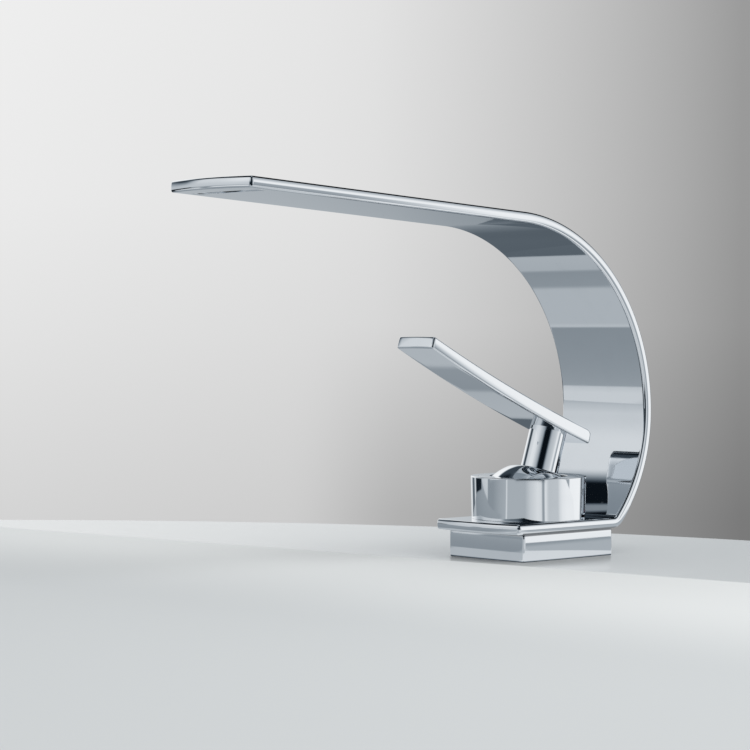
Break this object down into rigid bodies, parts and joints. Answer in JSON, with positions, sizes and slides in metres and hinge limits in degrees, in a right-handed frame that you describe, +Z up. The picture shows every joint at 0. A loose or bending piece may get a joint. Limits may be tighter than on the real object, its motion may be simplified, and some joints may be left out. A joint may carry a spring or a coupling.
{
  "type": "waterfall basin faucet",
  "caption": "Deck-mounted single-lever basin mixer with a flat hollow ribbon spout bent into a C, an underside waterfall slot, a round valve housing and a flat tilting lever.",
  "frame": {"origin": "where the valve axis meets the deck the foot stands on", "axes": "+Z up along the valve axis, the spout reaches forward along -Y, +X to the side"},
  "size_m": [0.05, 0.2316, 0.2161],
  "materials": {
    "chrome": "mirror-polished chrome plating on brass",
    "raw_brass": "as-turned brass",
    "steel": "zinc-plated and stainless steel",
    "dark_steel": "black oxide",
    "seal_rubber": "matte black rubber",
    "cartridge_plastic": "moulded off-white plastic",
    "carrier_plastic": "moulded dark grey plastic",
    "limit_plastic": "moulded red plastic",
    "plug_plastic": "moulded grey plastic with a red and a blue half",
    "ceramic": "lapped alumina ceramic"
  },
  "bodies": {
    "body": {"foot_block": "chrome", "deck_seal": "seal_rubber", "spout_shell": "chrome", "spout_cover": "chrome", "port_seal": "seal_rubber", "spout_screws": "steel", "valve_body": "raw_brass", "valve_o_rings": "seal_rubber", "clamp_ring": "raw_brass", "valve_housing": "chrome", "trim_ring": "chrome", "cartridge_cup": "cartridge_plastic", "cartridge_base": "cartridge_plastic", "base_seals": "seal_rubber", "fixed_disc": "ceramic", "cartridge_nut": "raw_brass", "fixing_stud": "raw_brass", "rubber_washer": "seal_rubber", "steel_washer": "steel", "stud_nut": "raw_brass"},
    "collar": {"cartridge_collar": "cartridge_plastic", "limit_ring": "limit_plastic", "tilt_pin": "steel"},
    "disc": {"moving_disc": "ceramic", "disc_carrier": "carrier_plastic"},
    "handle": {"spindle": "steel", "handle_dome": "chrome", "handle_stem": "chrome", "lever_blade": "chrome", "grub_screw": "dark_steel", "screw_plug": "plug_plastic"}
  },
  "joints": [
    {"name": "temperature", "type": "hinge", "parent": "body", "child": "collar", "pos_m": [0, 0, 0.017], "axis": [0, 0, 1], "range_deg": [-35, 35]},
    {"name": "flow", "type": "hinge", "parent": "collar", "child": "handle", "pos_m": [0, 0, 0.017], "axis": [1, 0, 0], "range_deg": [-5, 18.8]},
    {"name": "disc_slide", "type": "slide", "parent": "collar", "child": "disc", "axis": [0, 1, 0], "range_m": [-0.0008, 0.0026]}
  ],
  "couplings": [
    {"joint": "disc_slide", "follows": "flow", "m_per_rad": 0.0074}
  ]
}
